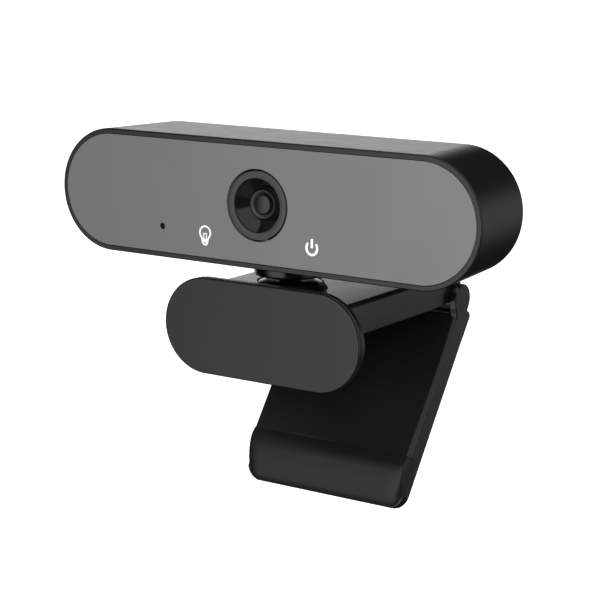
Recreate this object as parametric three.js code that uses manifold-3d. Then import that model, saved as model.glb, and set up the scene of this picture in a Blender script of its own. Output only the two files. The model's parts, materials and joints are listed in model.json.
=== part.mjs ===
// Bar-shaped webcam head on a folding monitor clip.
// Millimetres. X is to the camera's left-to-right width, Y points away from the viewer, Z is up.
// The origin lies on the flat underside of the clip's arm, which rests on top of a screen.
import * as THREE from 'three';
import { mergeVertices } from 'three/addons/utils/BufferGeometryUtils.js';
import Module from 'manifold-3d';

const wasm = await Module();
wasm.setup();

// ---------------------------------------------------------------- driving dimensions

const GAP = 0.3;                      // running gap between pieces that turn on each other
const FIT = 0.1;                      // gap between pieces that are glued or snapped together

const ARM = { halfWidth: 18.3, thick: 6.95, front: -22.0, topEdge: 1.2, lowEdge: 0.4 };
const HINGE = { y: 26.3, z: 0.85, barrel: 3.1, pin: 1.1, earRadius: 3.42, saddle: 3.5 };
const INSERT = { y: 9.0, outer: 4.0, inner: 2.75, low: 0.15, top: 6.0 };
const STOP = { halfStraight: 13.6, radius: 10.1, z: -0.4, front: -24.0, face: 0.6, back: -21.4 };
const LEG = { halfWidth: 20.07, lean: 36.3, inner: -0.22, outer: 5.28, end: 48.3, padEnd: 37.4 };

const NECK = { y: -12.5, pivotZ: 8.0 };
const BASE = { low: 7.2, top: 9.45, footR: 7.8, topR: 6.65, hubR: 4.6, hubLow: 3.6 };
const COLLAR = { radius: 7.5, low: 10.35, top: 13.0, stemR: 2.5, stemTop: 17.3 };

const HEAD = { front: -25.0, depth: 22.6, z: 26.0, halfStraight: 37.1, radius: 12.9, taper: 2.2 };
const RIM = 1.06;                     // width of the rim left round the front panel
const WALL = 1.8;
const PANEL = { thick: 1.6 };
const LENS = { hole: 7.3, ringOut: 7.05, coneOut: 5.5, barrelOut: 2.9, glass: 1.9 };

const MIC = { x: -23.5, z: -6.4, hole: 0.55 };
const BULB = { x: -12.6, z: -7.3 };
const POWER = { x: 13.1, z: -7.0 };
const SYMBOL_DEPTH = 0.35;

// ---------------------------------------------------------------- materials

const paint = (color, roughness, metalness = 0) =>
  new THREE.MeshStandardMaterial({ color, roughness, metalness });

const satinBlack = paint(0x111112, 0.42);
const glossBlack = paint(0x08080a, 0.12);
const panelGrey = paint(0x5f6062, 0.5);
const ringGrey = paint(0x2b2b2d, 0.4);
const rubberBlack = paint(0x0b0b0b, 0.8);
const glass = paint(0x2a2f3a, 0.04);
const steel = paint(0x9a9ca0, 0.3, 1);
const brass = paint(0xb08d4a, 0.35, 1);
const boardGreen = paint(0x0d3b22, 0.5);
const chipBlack = paint(0x17171a, 0.5);
const symbolWhite = paint(0xf2f2f2, 0.5);
const clearPlastic = paint(0xd8dcdf, 0.15);
const headerWhite = paint(0xe6e2d6, 0.5);

// ---------------------------------------------------------------- geometry helpers

// Turns a geometry outward if its faces point inward.
function outward(geometry) {
  const g = geometry.index ? geometry : mergeVertices(geometry);
  const p = g.attributes.position;
  const index = g.index;
  const a = new THREE.Vector3();
  const b = new THREE.Vector3();
  const c = new THREE.Vector3();
  let volume = 0;
  for (let i = 0; i < index.count; i += 3) {
    a.fromBufferAttribute(p, index.getX(i));
    b.fromBufferAttribute(p, index.getX(i + 1));
    c.fromBufferAttribute(p, index.getX(i + 2));
    volume += a.dot(b.cross(c));
  }
  if (volume < 0) {
    for (let i = 0; i < index.count; i += 3) {
      const first = index.getX(i);
      index.setX(i, index.getX(i + 1));
      index.setX(i + 1, first);
    }
  }
  return g;
}

function welded(geometry) {
  const bare = geometry.clone();
  bare.deleteAttribute('normal');
  bare.deleteAttribute('uv');
  return outward(mergeVertices(bare, 1e-4));
}

function toManifold(geometry) {
  const g = welded(geometry);
  const mesh = new wasm.Mesh({
    numProp: 3,
    vertProperties: new Float32Array(g.attributes.position.array),
    triVerts: new Uint32Array(g.index.array),
  });
  return new wasm.Manifold(mesh);
}

function fromManifold(solid) {
  const mesh = solid.getMesh();
  const g = new THREE.BufferGeometry();
  g.setAttribute('position', new THREE.BufferAttribute(new Float32Array(mesh.vertProperties), 3));
  g.setIndex(new THREE.BufferAttribute(new Uint32Array(mesh.triVerts), 1));
  g.computeVertexNormals();
  return g;
}

// Joins the first list of geometries and cuts the second list out of the result.
function build(add, cut = []) {
  let solid = toManifold(add[0]);
  for (const g of add.slice(1)) solid = solid.add(toManifold(g));
  for (const g of cut) solid = solid.subtract(toManifold(g));
  return fromManifold(solid);
}

function common(a, b) {
  return fromManifold(toManifold(a).intersect(toManifold(b)));
}

// Skins a list of rings that all have the same number of points.
// A closed skin runs round into itself; an open one gets a flat fan at both ends.
function skin(rings, closed = false) {
  const n = rings[0].length;
  const points = rings.flat(2);
  const faces = [];
  const spans = closed ? rings.length : rings.length - 1;
  for (let r = 0; r < spans; r += 1) {
    const low = r * n;
    const high = ((r + 1) % rings.length) * n;
    for (let i = 0; i < n; i += 1) {
      const j = (i + 1) % n;
      faces.push(low + i, low + j, high + j, low + i, high + j, high + i);
    }
  }
  if (!closed) {
    const last = (rings.length - 1) * n;
    for (let i = 1; i < n - 1; i += 1) {
      faces.push(0, i + 1, i);
      faces.push(last, last + i, last + i + 1);
    }
  }
  const g = new THREE.BufferGeometry();
  g.setAttribute('position', new THREE.Float32BufferAttribute(points, 3));
  g.setIndex(faces);
  return outward(g);
}

// One stadium outline in a plane of constant Y.
function stadium(halfStraight, radius, y, z, arc = 16) {
  const ring = [];
  for (let i = 0; i <= arc; i += 1) {
    const t = -Math.PI / 2 + (Math.PI * i) / arc;
    ring.push([halfStraight + radius * Math.cos(t), y, z + radius * Math.sin(t)]);
  }
  for (let i = 0; i <= arc; i += 1) {
    const t = Math.PI / 2 + (Math.PI * i) / arc;
    ring.push([-halfStraight + radius * Math.cos(t), y, z + radius * Math.sin(t)]);
  }
  return ring;
}

// Turned piece on an axis along X, Y or Z; the profile lists [radius, height].
function turned(profile, axis, at, segments = 32) {
  const g = new THREE.LatheGeometry(profile.map(([r, h]) => new THREE.Vector2(r, h)), segments);
  if (axis === 'z') g.rotateX(Math.PI / 2);
  if (axis === 'x') g.rotateZ(-Math.PI / 2);
  g.translate(...at);
  return welded(g);
}

function rod(radius, from, to, axis, at, segments = 32) {
  return turned([[0, from], [radius, from], [radius, to], [0, to]], axis, at, segments);
}

function tube(inner, outer, from, to, axis, at, segments = 32) {
  const profile = [[inner, from], [outer, from], [outer, to], [inner, to], [inner, from]];
  return turned(profile, axis, at, segments);
}

function box(x0, x1, y0, y1, z0, z1) {
  const g = new THREE.BoxGeometry(x1 - x0, y1 - y0, z1 - z0);
  g.translate((x0 + x1) / 2, (y0 + y1) / 2, (z0 + z1) / 2);
  return welded(g);
}

// Prism with an outline in the XZ plane, reaching from y0 back to y1.
function plateXZ(outline, y0, y1) {
  const shape = outline instanceof THREE.Shape ? outline : new THREE.Shape(
    outline.map(([x, z]) => new THREE.Vector2(x, z)));
  const g = new THREE.ExtrudeGeometry(shape, { depth: y1 - y0, bevelEnabled: false, curveSegments: 12 });
  g.rotateX(Math.PI / 2);
  g.translate(0, y1, 0);
  return welded(g);
}

// Prism with an outline in the YZ plane, reaching from x0 to x1.
function plateYZ(outline, x0, x1) {
  const shape = new THREE.Shape(outline.map(([y, z]) => new THREE.Vector2(y, z)));
  const g = new THREE.ExtrudeGeometry(shape, { depth: x1 - x0, bevelEnabled: false });
  const turn = new THREE.Matrix4().makeBasis(
    new THREE.Vector3(0, 1, 0), new THREE.Vector3(0, 0, 1), new THREE.Vector3(1, 0, 0));
  g.applyMatrix4(turn);
  g.translate(x0, 0, 0);
  return welded(g);
}

// Outline of a rectangle with rounded corners.
function roundedRect(x0, x1, z0, z1, radius, steps = 5) {
  const points = [];
  const corners = [[x1 - radius, z0 + radius, -90], [x1 - radius, z1 - radius, 0],
    [x0 + radius, z1 - radius, 90], [x0 + radius, z0 + radius, 180]];
  for (const [cx, cz, start] of corners) {
    for (let i = 0; i <= steps; i += 1) {
      const t = THREE.MathUtils.degToRad(start + (90 * i) / steps);
      points.push([cx + radius * Math.cos(t), cz + radius * Math.sin(t)]);
    }
  }
  return points;
}

function arcPoints(cx, cy, radius, from, to, steps) {
  const points = [];
  for (let i = 0; i <= steps; i += 1) {
    const t = THREE.MathUtils.degToRad(from + ((to - from) * i) / steps);
    points.push([cx + radius * Math.cos(t), cy + radius * Math.sin(t)]);
  }
  return points;
}

const part = new THREE.Group();
part.name = 'webcam_on_clip';

function piece(parent, name, geometry, material) {
  const mesh = new THREE.Mesh(geometry, material);
  mesh.name = name;
  geometry.computeVertexNormals();
  parent.add(mesh);
  return mesh;
}

// ---------------------------------------------------------------- clip: arm, front stop

const clip = new THREE.Group();
clip.name = 'clip';
part.add(clip);

const PIN_CLEAR = 0.15;
const hingeAt = [0, HINGE.y, HINGE.z];
const seam = 0.2;
const stopBase = STOP.front + STOP.face + seam;

// Side profile of the arm: the underside rises a little toward the hinge, and the flat top
// falls to a blunt end over the hinge barrel.
const armSide = [
  [ARM.front, 0], [INSERT.y + INSERT.outer + 0.5, 0], [HINGE.y - 7.4, 0.5], [HINGE.y - 1.5, 0.5],
  [HINGE.y, HINGE.z - 1], [HINGE.y + 2.2, 2.7], [HINGE.y + 2.05, 3.9], [HINGE.y + 1.55, 4.75],
  [HINGE.y + 0.5, 5.4], [HINGE.y - 1.2, 5.9], [HINGE.y - 3.6, 6.4], [HINGE.y - 6.4, 6.72],
  [HINGE.y - 9, 6.88], [HINGE.y - 11.4, ARM.thick], [ARM.front, ARM.thick],
];
// Cross section: generous round edges on top, small ones underneath.
const armEdge = (side, z, radius, from) =>
  arcPoints(side * (ARM.halfWidth - radius), z, radius, from, from + 90, 5);
const armOutline = [
  ...armEdge(1, ARM.lowEdge, ARM.lowEdge, -90), ...armEdge(1, ARM.thick - ARM.topEdge, ARM.topEdge, 0),
  ...armEdge(-1, ARM.thick - ARM.topEdge, ARM.topEdge, 90), ...armEdge(-1, ARM.lowEdge, ARM.lowEdge, 180),
];
const armSection = plateXZ(armOutline, ARM.front, HINGE.y + HINGE.barrel);
const armBody = common(armSection, plateYZ(armSide, -ARM.halfWidth - 1, ARM.halfWidth + 1));
const armBarrel = rod(HINGE.barrel, -ARM.halfWidth, ARM.halfWidth, 'x', hingeAt, 40);
const stopPlate = skin([
  stadium(STOP.halfStraight, STOP.radius - 0.35, stopBase, STOP.z),
  stadium(STOP.halfStraight, STOP.radius, stopBase + 0.3, STOP.z),
  stadium(STOP.halfStraight, STOP.radius, STOP.back - 0.4, STOP.z),
  stadium(STOP.halfStraight, STOP.radius - 0.4, STOP.back, STOP.z),
]);
const stopPocket = skin([
  stadium(STOP.halfStraight, STOP.radius - 2.0, stopBase - 1, STOP.z),
  stadium(STOP.halfStraight, STOP.radius - 2.0, stopBase + 0.6, STOP.z),
]);

const neckAt = [0, NECK.y, 0];
const HUB_FLOOR = 3.3;
const SCREW_SEAT = 1.9;
const washerSeat = { radius: 2.6, depth: 0.6 };
const barrelEnd = ARM.halfWidth;

const arm = build([armBody, armBarrel, stopPlate], [
  stopPocket,
  rod(BASE.hubR + GAP, HUB_FLOOR, ARM.thick + 1, 'z', neckAt),
  rod(1.6, SCREW_SEAT - 0.5, HUB_FLOOR + 0.5, 'z', neckAt, 20),
  rod(3.6, -1, SCREW_SEAT, 'z', neckAt, 28),
  rod(INSERT.outer + FIT, -1, INSERT.top + FIT, 'z', [0, INSERT.y, 0], 28),
  rod(HINGE.pin + PIN_CLEAR, -barrelEnd - 1, barrelEnd + 1, 'x', hingeAt, 20),
  rod(washerSeat.radius, -barrelEnd - 1, -barrelEnd + washerSeat.depth, 'x', hingeAt, 24),
  rod(washerSeat.radius, barrelEnd - washerSeat.depth, barrelEnd + 1, 'x', hingeAt, 24),
]);
piece(clip, 'clip_arm', arm, satinBlack);

// Face of the front stop: a thin shell with a tongue that sits in the arm's pocket.
piece(clip, 'clip_face', build([
  skin([
    stadium(STOP.halfStraight, STOP.radius - 0.3, STOP.front, STOP.z),
    stadium(STOP.halfStraight, STOP.radius - 0.08, STOP.front + 0.1, STOP.z),
    stadium(STOP.halfStraight, STOP.radius, STOP.front + 0.3, STOP.z),
    stadium(STOP.halfStraight, STOP.radius, STOP.front + STOP.face, STOP.z),
  ]),
  skin([
    stadium(STOP.halfStraight, STOP.radius - 2.0 - FIT, STOP.front + STOP.face - 0.2, STOP.z),
    stadium(STOP.halfStraight, STOP.radius - 2.0 - FIT, stopBase + 0.5, STOP.z),
  ]),
]), satinBlack);

piece(clip, 'stop_pad', plateXZ(
  roundedRect(-15, 15, -8.6, -1.2, 2), STOP.back + 0.02, STOP.back + 0.8), rubberBlack);

piece(clip, 'tripod_insert', turned([
  [INSERT.inner, INSERT.low], [INSERT.outer - 0.3, INSERT.low], [INSERT.outer, INSERT.low + 0.3],
  [INSERT.outer, 2.6], [INSERT.outer - 0.45, 2.8], [INSERT.outer - 0.45, 3.4], [INSERT.outer, 3.6],
  [INSERT.outer, INSERT.top], [INSERT.inner, INSERT.top], [INSERT.inner, INSERT.low],
], 'z', [0, INSERT.y, 0], 28), brass);

const PIN_END = 19.5;
piece(clip, 'hinge_pin', rod(HINGE.pin, -PIN_END + 0.1, PIN_END - 0.1, 'x', hingeAt, 20), steel);

const washerIn = washerSeat.depth - 0.1;
piece(clip, 'hinge_washer_left', tube(
  HINGE.pin + PIN_CLEAR + 0.1, washerSeat.radius - 0.15, -barrelEnd - 0.1, -barrelEnd + washerIn, 'x', hingeAt, 24),
steel);
piece(clip, 'hinge_washer_right', tube(
  HINGE.pin + PIN_CLEAR + 0.1, washerSeat.radius - 0.15, barrelEnd - washerIn, barrelEnd + 0.1, 'x', hingeAt, 24),
steel);

// ---------------------------------------------------------------- leg

// Leg pieces are drawn with the hinge at the origin and the leg hanging straight down,
// then leaned forward about the hinge.
const leg = new THREE.Group();
leg.name = 'leg';
leg.position.set(...hingeAt);
leg.rotation.x = THREE.MathUtils.degToRad(-LEG.lean);
part.add(leg);

// A point given in the leaned position, turned back to the straight-down drawing.
function unleaned([y, z]) {
  const t = THREE.MathUtils.degToRad(LEG.lean);
  return [y * Math.cos(t) - z * Math.sin(t), y * Math.sin(t) + z * Math.cos(t)];
}

const FOOT_SEAT = 3.0;
const PAD_INSET = 1.5;
const PAD_DEPTH = 1.0;
const EAR_IN = ARM.halfWidth + GAP;

// The leg's top edge is a land at the inner face, a saddle under the hinge barrel and a round back corner.
const legTop = [
  [-2.64, -3.24], ...arcPoints(0, 0, HINGE.saddle, 248, 305, 10),
  [2.4, -2.97], [2.95, -3.35], [3.36, -4.1], [3.5, -4.9],
].map(unleaned);
const legSide = [
  ...legTop,
  [LEG.outer, -8], [LEG.outer, -LEG.end + 0.9], [LEG.outer - 0.25, -LEG.end + 0.25],
  [LEG.outer - 0.8, -LEG.end], [FOOT_SEAT + 1.15, -LEG.end + 0.08], [FOOT_SEAT + 0.6, -LEG.end + 0.65],
  [FOOT_SEAT, -LEG.end + 1.45],
  [FOOT_SEAT, -LEG.padEnd - 0.2], [LEG.inner, -LEG.padEnd - 0.2],
];
const earSide = [
  ...arcPoints(0, 0, HINGE.earRadius, -38, 180, 18),
  [-3.36, -1.0], [-3.15, -1.9], [-2.85, -2.6], [-2.6, -4.2], [0.6, -7.2], [2.6, -4.4], [2.3, -2.95],
].map(unleaned);

// The blank's lower corners are rounded in the plane of the leg.
const LEG_CORNER = 3.0;
const legFront = [
  ...arcPoints(LEG.halfWidth - LEG_CORNER, -LEG.end + LEG_CORNER, LEG_CORNER, -90, 0, 6),
  [LEG.halfWidth, 6], [-LEG.halfWidth, 6],
  ...arcPoints(-LEG.halfWidth + LEG_CORNER, -LEG.end + LEG_CORNER, LEG_CORNER, 180, 270, 6),
];
const legBody = common(
  plateYZ(legSide, -LEG.halfWidth, LEG.halfWidth), plateXZ(legFront, -8, 9));

const padTop = -7.2;
const legPadRect = (grow, y0, y1) => plateXZ(roundedRect(
  -LEG.halfWidth + PAD_INSET - grow, LEG.halfWidth - PAD_INSET + grow,
  -LEG.padEnd + 0.9 - grow, padTop + grow, 1.2), y0, y1);

piece(leg, 'leg_plate', build([
  legBody,
  plateYZ(earSide, EAR_IN, LEG.halfWidth),
  plateYZ(earSide, -LEG.halfWidth, -EAR_IN),
], [
  legPadRect(FIT, LEG.inner - 1, LEG.inner + PAD_DEPTH),
  rod(HINGE.pin + PIN_CLEAR, EAR_IN - 1, PIN_END, 'x', [0, 0, 0], 20),
  rod(HINGE.pin + PIN_CLEAR, -PIN_END, -EAR_IN + 1, 'x', [0, 0, 0], 20),
]), satinBlack);

piece(leg, 'leg_pad', legPadRect(0, LEG.inner + 0.12, LEG.inner + PAD_DEPTH - 0.05), rubberBlack);

// Foot pad: a soft cushion across the lower end of the leg.
const FOOT_HALF = 20.0;
const footSide = [
  [FOOT_SEAT - 0.05, -LEG.padEnd - 0.3], [LEG.inner, -LEG.padEnd - 0.3], [-0.42, -38.9], [-0.45, -40.2],
  [-0.28, -41.4], [0.12, -42.6], [0.72, -43.8], [1.42, -44.9], [2.2, -45.95], [FOOT_SEAT - 0.05, -46.8],
];
const footFront = [
  ...arcPoints(FOOT_HALF - LEG_CORNER, -LEG.end + LEG_CORNER, LEG_CORNER, -90, 0, 6),
  [FOOT_HALF, -LEG.padEnd], [-FOOT_HALF, -LEG.padEnd],
  ...arcPoints(-FOOT_HALF + LEG_CORNER, -LEG.end + LEG_CORNER, LEG_CORNER, 180, 270, 6),
];
piece(leg, 'foot_pad', common(
  plateYZ(footSide, -LEG.halfWidth, LEG.halfWidth), plateXZ(footFront, -8, 9)), rubberBlack);

// ---------------------------------------------------------------- swivel base

const swivel = new THREE.Group();
swivel.name = 'swivel';
part.add(swivel);

const TAB = { half: 1.7, knuckle: 1.5, stem: 1.5 };
const SLOT = { half: TAB.half + GAP, low: 6.2, reach: 3.2 };
const pivotAt = [0, NECK.y, NECK.pivotZ];
const TILT_PIN = { radius: 0.7, end: 4.3 };

piece(swivel, 'swivel_base', build([
  turned([
    [0, BASE.hubLow], [BASE.hubR, BASE.hubLow], [BASE.hubR, BASE.low], [BASE.footR - 0.2, BASE.low],
    [BASE.footR, BASE.low + 0.25], [BASE.footR - 0.2, BASE.low + 0.65], [BASE.topR + 0.6, BASE.low + 1.2],
    [BASE.topR + 0.25, BASE.top - 0.3], [BASE.topR, BASE.top], [0, BASE.top],
  ], 'z', neckAt, 48),
], [
  box(-SLOT.half, SLOT.half, NECK.y - SLOT.reach, NECK.y + SLOT.reach, SLOT.low, BASE.top + 1),
  rod(TILT_PIN.radius + 0.1, -TILT_PIN.end - 0.1, TILT_PIN.end + 0.1, 'x', pivotAt, 16),
  rod(1.35, BASE.hubLow - 1, 6.0, 'z', neckAt, 20),
]), glossBlack);

piece(swivel, 'tilt_pin', rod(TILT_PIN.radius, -TILT_PIN.end, TILT_PIN.end, 'x', pivotAt, 16), steel);

// Pan-head screw with a cross recess, below the arm's floor.
piece(swivel, 'pan_screw', build([
  turned([
    [0, 0.35], [1.9, 0.35], [2.5, 0.7], [2.5, 1.3], [1.25, 1.3], [1.25, 5.8], [0, 5.8],
  ], 'z', neckAt, 24),
], [
  box(-1.3, 1.3, NECK.y - 0.3, NECK.y + 0.3, 0, 0.95),
  box(-0.3, 0.3, NECK.y - 1.3, NECK.y + 1.3, 0, 0.95),
]), steel);

piece(swivel, 'pan_washer', tube(1.4, 3.3, 1.35, SCREW_SEAT - 0.1, 'z', neckAt, 28), steel);

// ---------------------------------------------------------------- head

const head = new THREE.Group();
head.name = 'head';
part.add(head);

const headBack = HEAD.front + HEAD.depth;
const lensAt = [0, 0, HEAD.z];

// Outline of the body at a depth behind the front, drawn in by an offset.
// The straight length shortens toward the back, so the ends draw in slightly.
function bodyRing(offset, depth) {
  const straight = HEAD.halfStraight - (HEAD.taper * depth) / HEAD.depth;
  return stadium(straight, HEAD.radius - offset, HEAD.front + depth, HEAD.z, 20);
}

const coverIn = HEAD.depth - 1.7;
const shellProfile = [
  [RIM, 0], [0.42, 0], [0.12, 0.12], [0, 0.42],
  [0, HEAD.depth - 1.2], [0.12, HEAD.depth - 0.65], [0.45, HEAD.depth - 0.22], [1.0, HEAD.depth],
  [WALL, HEAD.depth], [WALL, coverIn], [WALL + 1.1, coverIn], [WALL + 1.1, coverIn - 1.2],
  [WALL, coverIn - 1.2], [WALL, 3.1], [WALL + 0.7, 3.1], [WALL + 0.7, PANEL.thick + FIT], [RIM, PANEL.thick + FIT],
];
piece(head, 'housing_shell', build(
  [skin(shellProfile.map(([offset, depth]) => bodyRing(offset, depth)), true)],
  [rod(COLLAR.stemR + 0.2, HEAD.z - HEAD.radius - 1, HEAD.z - HEAD.radius + 4, 'z', neckAt, 24)],
), satinBlack);

// Rear cover with two bosses for the board and a hole for the cable inlet.
const BOSS_X = 33;
const BOARD = { front: -15.4, back: -14.2, halfX: 37.5, low: 18.2, high: 35.2 };
const GROMMET = { x: 0, z: 20.0, hole: 2.6, bore: 1.75 };
const coverFront = HEAD.front + coverIn + FIT;
piece(head, 'rear_cover', build([
  skin([
    stadium(HEAD.halfStraight - HEAD.taper, HEAD.radius - WALL - FIT, coverFront, HEAD.z, 20),
    stadium(HEAD.halfStraight - HEAD.taper, HEAD.radius - WALL - FIT, headBack - 0.2, HEAD.z, 20),
    stadium(HEAD.halfStraight - HEAD.taper, HEAD.radius - WALL - FIT - 0.2, headBack, HEAD.z, 20),
  ]),
  rod(2.4, BOARD.back + FIT, coverFront + 0.2, 'y', [BOSS_X, 0, HEAD.z], 20),
  rod(2.4, BOARD.back + FIT, coverFront + 0.2, 'y', [-BOSS_X, 0, HEAD.z], 20),
], [
  rod(GROMMET.hole + FIT, coverFront - 1, headBack + 1, 'y', [GROMMET.x, 0, GROMMET.z], 24),
  rod(0.85, BOARD.back - 1, BOARD.back + 6, 'y', [BOSS_X, 0, HEAD.z], 14),
  rod(0.85, BOARD.back - 1, BOARD.back + 6, 'y', [-BOSS_X, 0, HEAD.z], 14),
]), satinBlack);

piece(head, 'cable_grommet', turned([
  [GROMMET.bore, coverFront - 0.9], [GROMMET.hole + 1, coverFront - 0.9], [GROMMET.hole + 1, coverFront - 0.1],
  [GROMMET.hole, coverFront - 0.1], [GROMMET.hole, headBack + 0.02], [GROMMET.hole + 0.9, headBack + 0.02],
  [GROMMET.hole + 0.9, headBack + 0.5], [GROMMET.hole + 0.5, headBack + 0.8], [GROMMET.bore, headBack + 0.8],
  [GROMMET.bore, coverFront - 0.9],
], 'y', [GROMMET.x, 0, GROMMET.z], 24), rubberBlack);

// Bulb symbol: outlined globe on a solid cap, drawn about its own centre.
function bulbShape(grow) {
  const globe = arcPoints(0, 0.55, 1.55 + grow, -58, 238, 22);
  const neck = [[-0.82 - grow, -1.05], [-0.82 - grow, -1.95 - grow], [0.82 + grow, -1.95 - grow], [0.82 + grow, -1.05]];
  const shape = new THREE.Shape([...globe, ...neck].map(([x, z]) => new THREE.Vector2(BULB.x + x, BULB.z + HEAD.z + z)));
  const inside = arcPoints(0, 0.55, 1.2 - grow, 238, -58, 20);
  shape.holes.push(new THREE.Path(inside.map(([x, z]) => new THREE.Vector2(BULB.x + x, BULB.z + HEAD.z + z))));
  return shape;
}

// Power symbol: open ring with a bar through the gap.
const POWER_R = 1.4;
const STROKE = 0.19;
function powerRing(grow) {
  const outer = arcPoints(0, 0, POWER_R + STROKE + grow, 122 - grow * 30, 418 + grow * 30, 26);
  const inner = arcPoints(0, 0, POWER_R - STROKE - grow, 418 + grow * 30, 122 - grow * 30, 26);
  return [...outer, ...inner].map(([x, z]) => [POWER.x + x, POWER.z + HEAD.z - 0.3 + z]);
}
function powerBar(grow) {
  const z = POWER.z + HEAD.z;
  return roundedRect(POWER.x - STROKE - grow, POWER.x + STROKE + grow, z - 0.35 - grow, z + 1.85 + grow, 0.15, 2);
}

const panelBack = HEAD.front + PANEL.thick;
const panelRadius = HEAD.radius - RIM - FIT;
const SYMBOL_CLEAR = 0.04;
piece(head, 'front_panel', build([
  skin([
    stadium(HEAD.halfStraight, panelRadius - 0.1, HEAD.front, HEAD.z, 20),
    stadium(HEAD.halfStraight, panelRadius, HEAD.front + 0.1, HEAD.z, 20),
    stadium(HEAD.halfStraight - 0.15, panelRadius, panelBack, HEAD.z, 20),
  ]),
], [
  rod(LENS.hole, HEAD.front - 1, panelBack + 1, 'y', lensAt, 48),
  rod(MIC.hole, HEAD.front - 1, panelBack + 1, 'y', [MIC.x, 0, HEAD.z + MIC.z], 16),
  plateXZ(bulbShape(SYMBOL_CLEAR), HEAD.front - 1, HEAD.front + SYMBOL_DEPTH),
  plateXZ(powerRing(SYMBOL_CLEAR), HEAD.front - 1, HEAD.front + SYMBOL_DEPTH),
  plateXZ(powerBar(SYMBOL_CLEAR), HEAD.front - 1, HEAD.front + SYMBOL_DEPTH),
]), panelGrey);

const symbolBack = HEAD.front + SYMBOL_DEPTH - 0.05;
piece(head, 'bulb_symbol', plateXZ(bulbShape(0), HEAD.front, symbolBack), symbolWhite);
piece(head, 'power_ring', plateXZ(powerRing(0), HEAD.front, symbolBack), symbolWhite);
piece(head, 'power_bar', plateXZ(powerBar(0), HEAD.front, symbolBack), symbolWhite);

// ---------------------------------------------------------------- lens stack

const f = HEAD.front;
piece(head, 'lens_ring', turned([
  [LENS.coneOut, f + 0.12], [LENS.coneOut + 0.15, f], [LENS.ringOut - 0.15, f], [LENS.ringOut, f + 0.15],
  [LENS.ringOut, f + 4.5], [LENS.coneOut + 0.4, f + 4.5], [LENS.coneOut + 0.4, f + 0.6], [LENS.coneOut, f + 0.6],
  [LENS.coneOut, f + 0.12],
], 'y', lensAt, 64), ringGrey);

piece(head, 'lens_cone', turned([
  [LENS.coneOut - 0.1, f + 0.35], [3.05, f + 2.3], [3.05, f + 4.4], [LENS.coneOut + 0.3, f + 4.4],
  [LENS.coneOut + 0.3, f + 0.7], [LENS.coneOut - 0.1, f + 0.7], [LENS.coneOut - 0.1, f + 0.35],
], 'y', lensAt, 48), glossBlack);

piece(head, 'lens_barrel', turned([
  [LENS.glass + 0.1, f + 2.15], [LENS.glass + 0.35, f + 1.85], [LENS.barrelOut - 0.2, f + 1.85],
  [LENS.barrelOut, f + 2.05], [LENS.barrelOut, f + 9.2], [1.2, f + 9.2], [1.2, f + 3.9],
  [LENS.glass + 0.1, f + 3.9], [LENS.glass + 0.1, f + 2.15],
], 'y', lensAt, 48), ringGrey);

piece(head, 'lens_glass', turned([
  [0, f + 1.55], [0.7, f + 1.63], [1.3, f + 1.83], [LENS.glass, f + 2.2], [LENS.glass, f + 3.8], [0, f + 3.8],
], 'y', lensAt, 40), glass);

const HOLDER = { front: f + 5.0, back: BOARD.front - FIT, half: 6.0 };
piece(head, 'lens_holder', build([
  box(-HOLDER.half, HOLDER.half, HOLDER.front + 1.2, HOLDER.back, HEAD.z - HOLDER.half, HEAD.z + HOLDER.half),
  rod(4.2, HOLDER.front, HOLDER.front + 1.4, 'y', lensAt, 32),
], [
  rod(LENS.barrelOut + FIT, HOLDER.front - 1, HOLDER.back + 1, 'y', lensAt, 32),
]), satinBlack);

// ---------------------------------------------------------------- board and what sits on it

const chipFront = BOARD.front - 0.9;
piece(head, 'image_sensor', box(-2.1, 2.1, chipFront + 0.6, BOARD.front - 0.05, HEAD.z - 1.7, HEAD.z + 1.7), chipBlack);

piece(head, 'main_board', build([
  plateXZ(roundedRect(-BOARD.halfX, BOARD.halfX, BOARD.low, BOARD.high, 2), BOARD.front, BOARD.back),
], [
  rod(1.0, BOARD.front - 1, BOARD.back + 1, 'y', [BOSS_X, 0, HEAD.z], 16),
  rod(1.0, BOARD.front - 1, BOARD.back + 1, 'y', [-BOSS_X, 0, HEAD.z], 16),
]), boardGreen);

const boardScrew = (x) => turned([
  [0, BOARD.front - 1.1], [1.3, BOARD.front - 1.1], [1.7, BOARD.front - 0.7], [1.7, BOARD.front - 0.05],
  [0.8, BOARD.front - 0.05], [0.8, BOARD.back + 5.5], [0, BOARD.back + 5.5],
], 'y', [x, 0, HEAD.z], 18);
piece(head, 'board_screw_left', boardScrew(-BOSS_X), steel);
piece(head, 'board_screw_right', boardScrew(BOSS_X), steel);

const micAt = [MIC.x, 0, HEAD.z + MIC.z];
piece(head, 'microphone', rod(2.0, BOARD.front - 2.2, BOARD.front - 0.05, 'y', micAt, 20), steel);
piece(head, 'mic_gasket', tube(0.8, 1.9, panelBack + 0.05, BOARD.front - 2.3, 'y', micAt, 20), rubberBlack);

const lamp = (at) => box(at.x - 0.8, at.x + 0.8, BOARD.front - 0.85, BOARD.front - 0.05,
  HEAD.z + at.z - 0.4, HEAD.z + at.z + 0.4);
const guide = (at) => rod(1.7, panelBack + 0.1, BOARD.front - 1.0, 'y', [at.x, 0, HEAD.z + at.z], 16);
piece(head, 'lamp_left', lamp(BULB), symbolWhite);
piece(head, 'lamp_right', lamp(POWER), symbolWhite);
piece(head, 'light_guide_left', guide(BULB), clearPlastic);
piece(head, 'light_guide_right', guide(POWER), clearPlastic);

const HEADER = { x: 18, z: 30 };
piece(head, 'usb_header', build([
  box(HEADER.x - 4.5, HEADER.x + 4.5, BOARD.back + 0.05, BOARD.back + 4.5, HEADER.z - 2, HEADER.z + 2),
], [
  box(HEADER.x - 3.7, HEADER.x + 3.7, BOARD.back + 1.5, BOARD.back + 6, HEADER.z - 1.2, HEADER.z + 1.2),
]), headerWhite);

// ---------------------------------------------------------------- collar under the head

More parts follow.
